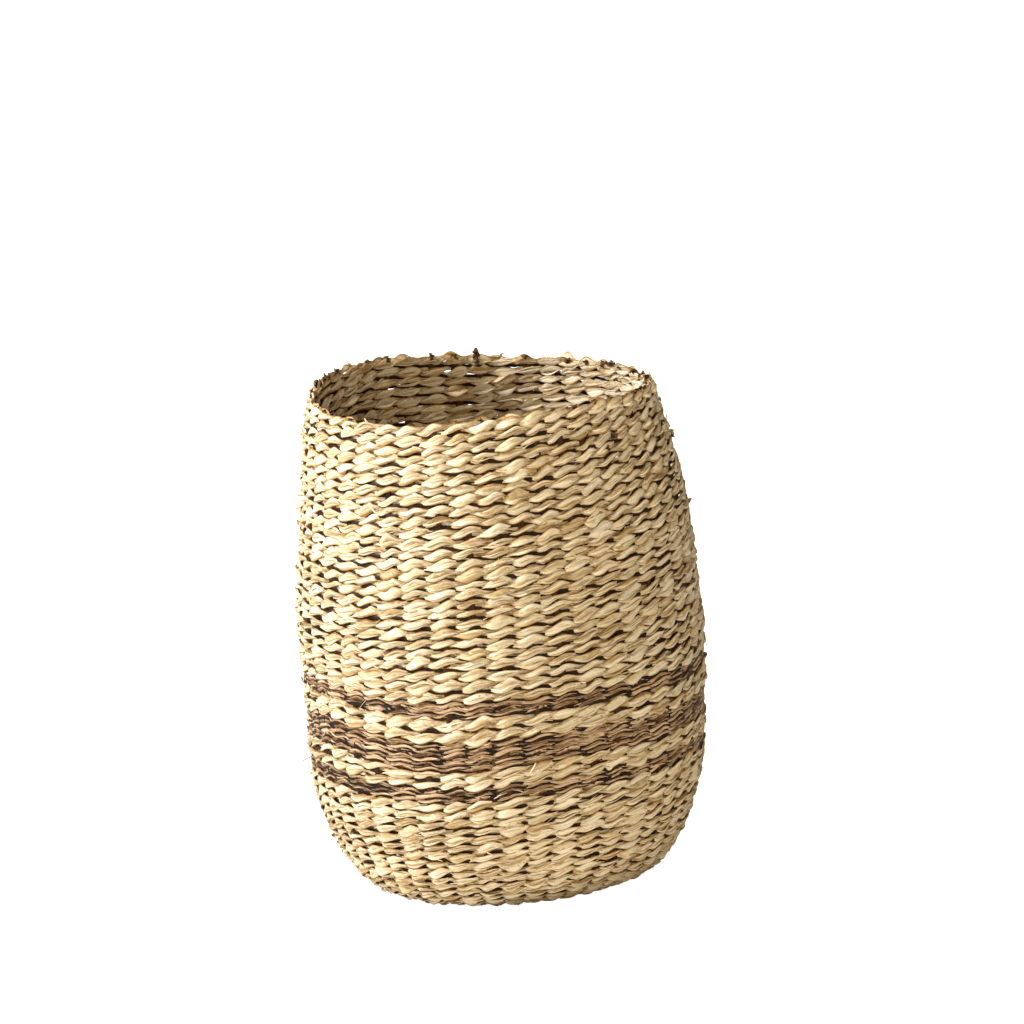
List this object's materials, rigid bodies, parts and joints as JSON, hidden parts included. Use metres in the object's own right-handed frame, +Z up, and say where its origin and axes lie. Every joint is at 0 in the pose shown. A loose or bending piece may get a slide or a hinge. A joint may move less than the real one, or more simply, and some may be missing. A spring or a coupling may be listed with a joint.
{
  "type": "woven storage basket",
  "caption": "Tall round barrel-shaped basket of twined seagrass, open at the top, with brown stripes low on its wall.",
  "frame": {"origin": "middle of the underside, on the surface that the basket stands on", "axes": "+Z up, out of the mouth; +X to the right and +Y away as the basket is usually looked at"},
  "size_m": [0.3641, 0.364, 0.4614],
  "materials": {
    "natural_seagrass": "dry natural seagrass, matt with a soft sheen on the flat blades",
    "brown_seagrass": "dry brown-dyed seagrass, matt",
    "stake_fibre": "coarse dark stem fibre, matt"
  },
  "bodies": {
    "root": {"base_weft_under": "natural_seagrass", "base_weft_over": "natural_seagrass", "heel_outer": "natural_seagrass", "heel_inner": "natural_seagrass", "lower_wall_outer": "natural_seagrass", "lower_wall_inner": "natural_seagrass", "lower_brown_stripe_outer": "brown_seagrass", "lower_brown_stripe_inner": "brown_seagrass", "lower_natural_stripe_outer": "natural_seagrass", "lower_natural_stripe_inner": "natural_seagrass", "wide_brown_stripe_outer": "brown_seagrass", "wide_brown_stripe_inner": "brown_seagrass", "upper_natural_stripe_outer": "natural_seagrass", "upper_natural_stripe_inner": "natural_seagrass", "upper_brown_stripe_outer": "brown_seagrass", "upper_brown_stripe_inner": "brown_seagrass", "upper_wall_outer": "natural_seagrass", "upper_wall_inner": "natural_seagrass", "rim_course_outer": "natural_seagrass", "rim_course_inner": "natural_seagrass", "through_stake_01": "stake_fibre", "through_stake_02": "stake_fibre", "through_stake_03": "stake_fibre", "through_stake_04": "stake_fibre", "through_stake_05": "stake_fibre", "through_stake_06": "stake_fibre", "through_stake_07": "stake_fibre", "through_stake_08": "stake_fibre", "through_stake_09": "stake_fibre", "through_stake_10": "stake_fibre", "through_stake_11": "stake_fibre", "side_stake_01": "stake_fibre", "side_stake_02": "stake_fibre", "side_stake_03": "stake_fibre", "side_stake_04": "stake_fibre", "side_stake_05": "stake_fibre", "side_stake_06": "stake_fibre", "side_stake_07": "stake_fibre", "side_stake_08": "stake_fibre", "side_stake_09": "stake_fibre", "side_stake_10": "stake_fibre", "side_stake_11": "stake_fibre", "side_stake_12": "stake_fibre", "side_stake_13": "stake_fibre", "side_stake_14": "stake_fibre", "side_stake_15": "stake_fibre", "side_stake_16": "stake_fibre", "side_stake_17": "stake_fibre", "side_stake_18": "stake_fibre", "side_stake_19": "stake_fibre", "side_stake_20": "stake_fibre", "side_stake_21": "stake_fibre", "side_stake_22": "stake_fibre"}
  },
  "joints": []
}
